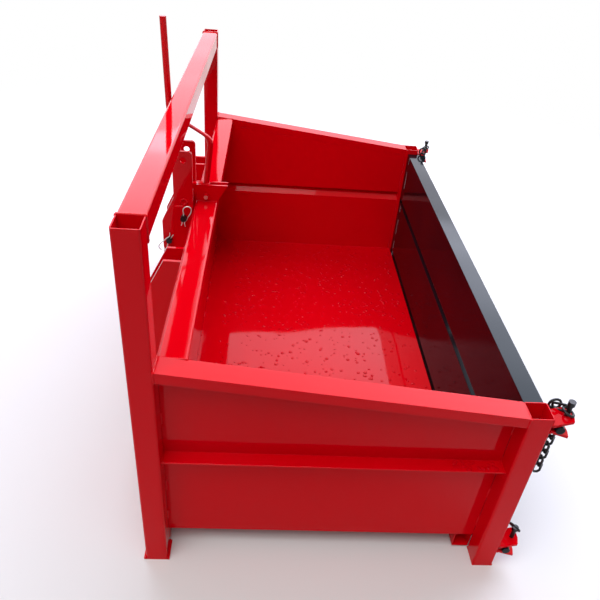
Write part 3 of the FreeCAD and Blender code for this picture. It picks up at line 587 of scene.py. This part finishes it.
mast_outer, mast_inner = [abs(y) for y in across("mast_plate_left")]
(doubler_x, _, doubler_low), (doubler_back, _, doubler_top) = edges("mast_doublers")
(web_x, _, web_low), (_, _, web_top) = edges("mast_web")
catch_x, catch_z, catch_radius = bar("catch_pin")
head_welds = both([
    [(doubler_x, mast_outer, doubler_low), (doubler_back, mast_outer, doubler_low)],
    [(DOUBLER_TOP_FRONT_MM, mast_outer, doubler_top), (doubler_back, mast_outer, doubler_top)],
    circle(tip_x, mast_outer, tip_z, bar("mast_sleeve")[2]),
    circle(catch_x, mast_outer, catch_z, catch_radius),
])
head_welds += both(stitches((web_x, mast_inner, web_low), (web_x, mast_inner, web_top)))
grow("welds_of_headstock", weld_tree, WELD, lines("head_weld_lines", head_welds), "headstock")

# %% Weld of the lever
ROD_RADIUS_MM = 10.0

rod_foot = edges("lever_rod")[0][2]
bolt_x, bolt_z, bolt_radius = bar("latch_pivot")
rod_weld = [(bolt_x + ROD_RADIUS_MM * math.cos(turn), ROD_RADIUS_MM * math.sin(turn), rod_foot)
            for turn in round_turns(SMALL_CIRCLE_POINTS)]
grow("weld_of_lever", weld_tree, WELD, lines("lever_weld_line", [rod_weld]), "latch_lever")

# %% [markdown]
# ## Bent wire
# Spring clips keep the stowed pins in place, and thick wire rings hang on the lock pins. Each is one
# wire bent in a few places. It could be drawn by hand as a Bezier curve, with two handles for every
# bend. A few points and a smooth curve through them are enough, so the tree turns the line into a
# Catmull-Rom curve, which passes through its points, and sweeps it.

# %% Wire tree
WIRE_STEP_MM = 1.6          # length of one piece of the swept wire

wire_tree, start, end = new_tree("bent_wire", ["Radius"])
line = add(wire_tree, "GeometryNodeMeshToCurve", Mesh=(start, "Geometry"))
smooth = add(wire_tree, "GeometryNodeCurveSplineType", {"spline_type": "CATMULL_ROM"}, Curve=(line, 0))
even = add(wire_tree, "GeometryNodeResampleCurve", {"mode": "LENGTH"}, Curve=(smooth, 0),
           Length=WIRE_STEP_MM * MM)
ring = add(wire_tree, "GeometryNodeCurvePrimitiveCircle", Resolution=10, Radius=1.0)
wire = add(wire_tree, "GeometryNodeCurveToMesh", Curve=(even, 0), Profile_Curve=(ring, 0),
           Scale=(start, "Radius"), Fill_Caps=True)
finish_tree(wire_tree, (wire, 0), zinc_plate, end)
print("wire tree:", len(wire_tree.nodes), "nodes")

# %% [markdown]
# ## Spring clips on the stowed pins
# A spring clip has a straight leg that goes through a hole near the pin's end, a round loop, and a
# sprung leg that grips the pin from outside. Its bends are listed once, flat, and turned to where
# each pair of clips hangs.

# %% Spring clips on the stowed pins
CLIP_WIRE_MM = 1.7
CLIP_IN_MM = 7.0        # from the pin's end to the clip's hole
# along the straight leg and across it, from the free end round the loop to the sprung leg's tip
CLIP_BENDS = [(28, 0), (5, 0), (-14, -3), (-32, -9), (-44, -4), (-48, 6), (-42, 16), (-28, 18), (-12, 14),
              (0, 12.2), (8, 9), (16, 8), (27, 14)]
CLIP_TURNS = {"upper_stow_pin": 254.0, "lower_stow_pin": 56.0}   # where the legs point, in degrees

clip_runs = []
for pin, degrees in CLIP_TURNS.items():
    x, z, _ = bar(pin)
    y = across(pin)[0] + CLIP_IN_MM
    c, s = math.cos(math.radians(degrees)), math.sin(math.radians(degrees))
    clip_runs += both([[(x + u * c - v * s, y, z + u * s + v * c) for u, v in CLIP_BENDS]])
grow("spring_clips", wire_tree, {"Radius": CLIP_WIRE_MM * MM}, lines("clip_lines", clip_runs), "headstock")

# %% [markdown]
# ## Rings of the lock pins
# Each lock pin is pulled by a wire ring, and another ring with one link of chain keeps the upper pins
# by the tailgate. A ring is a circle in a tilted plane, and a link is the same circle with its two
# halves drawn apart, so both are worked out from a middle and two directions.

# %% Rings on the lock pins
RING_MM, RING_WIRE_MM = 15.0, 3.4
HEAD_DOWN_MM = 6.0          # from the top of a lock pin to the hole in its head
PLATE_DOWN_MM = 43.0        # from the top of a lock pin to the plate it stands in
LOWER_RISE, LOWER_SPREAD = 66.0, 8.0    # degrees that the lower rings stand up, and how they differ
UPPER_LEAN = 24.0                       # degrees that the upper rings lean
TURNED_X, TURNED_Y = 0.6, 0.8           # direction in plan of the lower rings' width

(pin_low_x, _, _), (pin_high_x, _, pin_top) = edges("lock_pins_left")
pin_x, pin_y = (pin_low_x + pin_high_x) / 2, abs(sum(across("lock_pins_left"))) / 2
lower_hole = pin_top - (stub_heights[1] - stub_heights[0]) - HEAD_DOWN_MM
lean = math.radians(UPPER_LEAN)
upper_middle = pin_top - PLATE_DOWN_MM + RING_WIRE_MM + RING_MM * math.sin(lean)


def tilted_ring(middle, wide, tall):
    """A closed run round middle, in the plane of two directions at right angles."""
    return [tuple(middle + (wide * math.sin(turn) - tall * math.cos(turn)) * RING_MM)
            for turn in round_turns(SMALL_CIRCLE_POINTS)]


ring_runs = []
for side in (-1, 1):
    # a lower pin's ring stands up from the hole in its head
    rise = math.radians(LOWER_RISE + LOWER_SPREAD * side)
    wide = Vector((TURNED_X, side * TURNED_Y, 0.0))
    tall = Vector((-TURNED_Y * math.cos(rise), side * TURNED_X * math.cos(rise), math.sin(rise)))
    ring_runs.append(tilted_ring(Vector((pin_x, side * pin_y, lower_hole)) + tall * RING_MM, wide, tall))
    # an upper pin's ring lies round it, with one side on the plate
    tall = Vector((math.cos(lean), 0, math.sin(lean) * side))
    ring_runs.append(tilted_ring(Vector((pin_x, side * pin_y, upper_middle)), Vector((0, 1, 0)), tall))
print("rings on lock pins:", len(ring_runs))

# %% Rings on the upper stubs, and a link to the pins' rings
LINK_HALF_MM, LINK_BEND_MM = 13.0, 9.0      # half of a link's straight side, radius of its ends
UNDER_MM = 6.0                              # the link goes this far below the middle of a stub's ring
SHORT_MM, OVER_MM = 7.5, 3.0                # and ends this far short of the pin, above its ring's middle


def chain_link(a, b):
    """A closed run for a link that lies midway between two places."""
    along = (b - a).normalized()
    upright = along.cross(Vector((0, 0, 1))).cross(along).normalized()
    middle = (a + b) / 2
    run = []
    for turn in round_turns(SMALL_CIRCLE_POINTS):
        straight = math.copysign(LINK_HALF_MM, math.cos(turn))
        run.append(tuple(middle + along * (straight + LINK_BEND_MM * math.cos(turn))
                         + upright * LINK_BEND_MM * math.sin(turn)))
    return run


ear_gap = (ear_outer + mouth_inner) / 2
stub_ring = stub_heights[1] + stub_radius + RING_WIRE_MM + RING_MM
ring_runs += both([circle(stub_x, ear_gap, stub_ring, RING_MM)])
for side in (-1, 1):
    ring_runs.append(chain_link(Vector((stub_x, side * ear_gap, stub_ring - UNDER_MM)),
                                Vector((pin_x, side * (pin_y - SHORT_MM), upper_middle + OVER_MM))))
rings = grow("pin_rings", wire_tree, {"Radius": RING_WIRE_MM * MM}, lines("ring_lines", ring_runs), "box")
rings.data.materials[0] = blackened_steel       # in place of the tree's zinc

# %% [markdown]
# ## Nuts and washers on the latch pivot
# The lever's pivot is a bolt. On each side it has a nut and a washer, which were sprayed with the box.
# A nut is a ring whose outside is a hexagon with its corners turned off, and a washer is a plain ring.
# A cylinder with a hole cut through it would do, but one list of rings, joined in order, makes both
# without a cut.

# %% Helpers for rings round the pivot
RING_SIDES = 48


def ring_piece(name, profile, x, z):
    """A closed ring across the box: profile is (y, reach) pairs, reach a number or a rule of angle."""
    mesh = bmesh.new()
    loops = []
    for y, reach in profile:
        loop = []
        for i in range(RING_SIDES):
            angle = 2 * math.pi * i / RING_SIDES
            out = reach(angle) if callable(reach) else reach
            loop.append(mesh.verts.new((front + (x + out * math.cos(angle)) * MM, y * MM,
                                        (z + out * math.sin(angle)) * MM)))
        loops.append(loop)
    for one, two in zip(loops, loops[1:] + loops[:1]):
        for i in range(RING_SIDES):
            after = (i + 1) % RING_SIDES
            mesh.faces.new((one[i], one[after], two[after], two[i]))
    bmesh.ops.recalc_face_normals(mesh, faces=mesh.faces)
    data = bpy.data.meshes.new(name)
    mesh.to_mesh(data)
    mesh.free()
    data.materials.append(red_enamel)
    piece = bpy.data.objects.new(name, data)
    scene.collection.objects.link(piece)
    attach(piece, "box")


def hexagon(half_flats, limit):
    """The outside of a nut: a hexagon cut back to a circle of radius limit."""
    sixth = math.pi / 3
    return lambda angle: min(limit, half_flats / math.cos((angle % sixth) - sixth / 2))


print("ring helpers ready")

# %% Nuts and washers
HALF_FLATS_MM, CORNER_MM, NUT_MM, NUT_CHAMFER_MM = 9.5, 10.8, 7.0, 1.0
WASHER_MM, WASHER_RADIUS_MM = 1.6, 12.0
BORE_PLAY_MM = 0.15

bore = bolt_radius + BORE_PLAY_MM
corners, flats = hexagon(HALF_FLATS_MM, CORNER_MM), hexagon(HALF_FLATS_MM, HALF_FLATS_MM)
for side, label in ((-1, "near"), (1, "far")):
    y0 = side * cheek_y
    y1, y2 = y0 + side * WASHER_MM, y0 + side * (WASHER_MM + NUT_MM)
    washer = [(y0, bore), (y0, WASHER_RADIUS_MM), (y1, WASHER_RADIUS_MM), (y1, bore)]
    ring_piece("washer_" + label, washer, bolt_x, bolt_z)
    nut = [(y1, bore), (y1, corners), (y2 - side * NUT_CHAMFER_MM, corners), (y2, flats), (y2, bore)]
    ring_piece("nut_" + label, nut, bolt_x, bolt_z)
print("pivot hardware at", round(bolt_x), round(bolt_z))

# %% [markdown]
# ## Rain on the floor
# Rain beads up on clean gloss paint. Most drops are small and a few are large, so the random size is
# raised to a power. Thousands of smooth balls would be heavy, so the tree scatters points over
# rectangles and puts one low-polygon ball on each, half sunk and flattened as water lies on paint.

# %% Rain tree
RARITY = 1.8                # power that makes large drops rare
FLATNESS = 0.32             # a drop's height over its radius
PLACES_SEED, SIZES_SEED = 11, 4

rain_tree, start, end = new_tree("rain_drops", ["Density", "Smallest", "Largest"])
points = add(rain_tree, "GeometryNodeDistributePointsOnFaces", Mesh=(start, "Geometry"),
             Density=(start, "Density"), Seed=PLACES_SEED)
chance = add(rain_tree, "FunctionNodeRandomValue", {"data_type": "FLOAT"}, _2=0.0, _3=1.0, _8=SIZES_SEED)
rare = add(rain_tree, "ShaderNodeMath", {"operation": "POWER"}, _0=(chance, 1), _1=RARITY)
size = add(rain_tree, "ShaderNodeMapRange", _0=(rare, 0), _3=(start, "Smallest"), _4=(start, "Largest"))
low = add(rain_tree, "ShaderNodeMath", {"operation": "MULTIPLY"}, _0=(size, 0), _1=FLATNESS)
axes = add(rain_tree, "ShaderNodeCombineXYZ", _0=(size, 0), _1=(size, 0), _2=(low, 0))
ball = add(rain_tree, "GeometryNodeMeshUVSphere", Segments=8, Rings=4, Radius=1.0)
drops = add(rain_tree, "GeometryNodeInstanceOnPoints", Points=(points, 0), Instance=(ball, 0),
            Scale=(axes, 0))
finish_tree(rain_tree, (drops, 0), rain_water, end)
print("rain tree:", len(rain_tree.nodes), "nodes")

# %% [markdown]
# ## Where it is wet
# Rain stands thickly on the near end of the floor and on the rear end of each side's rib, and is
# thinner further in. Level rectangles mark those places, a little in from the edges, where drops
# would hang over.

# %% Where it is wet
def rectangles(name, patches):
    """Level rectangles: each patch is x from, x to, y from, y to and height, in millimetres."""
    corners = []
    for x0, x1, y0, y1, z in patches:
        corners += [(front + x * MM, y * MM, z * MM) for x, y in ((x0, y0), (x1, y0), (x1, y1), (x0, y1))]
    mesh = bpy.data.meshes.new(name)
    mesh.from_pydata(corners, [], [(i, i + 1, i + 2, i + 3) for i in range(0, len(corners), 4)])
    return mesh


CLEAR_MM = 12.0             # from a patch to the edge of its floor
RIB_WET_MM = 144.0          # from the rear post to where the rib dries
WET_TO_MM = -250.0          # rain stands most thickly nearer the viewer than this
DENSE, SPARSE = 8200.0, 900.0                   # drops on a square metre
DROP_MM = (3.2, 8.0)                            # radius of the smallest and the largest

near_floor = [(rail_back, floor_back - CLEAR_MM, CLEAR_MM - inside, WET_TO_MM, floor_top)]
far_floor = [(rail_back, floor_back - CLEAR_MM, WET_TO_MM, inside - CLEAR_MM, floor_top)]
for side in (-1, 1):
    y0, y1 = sorted((side * (panel_face + CLEAR_MM / 2), side * (rib_nose - CLEAR_MM / 2)))
    near_floor.append((post_front - RIB_WET_MM, post_front - CLEAR_MM, y0, y1, rib_top))
drop = {"Smallest": DROP_MM[0] * MM, "Largest": DROP_MM[1] * MM}
grow("rain_near", rain_tree, {"Density": DENSE, **drop}, rectangles("wet_near", near_floor), "box")
grow("rain_far", rain_tree, {"Density": SPARSE, **drop}, rectangles("wet_far", far_floor), "box")
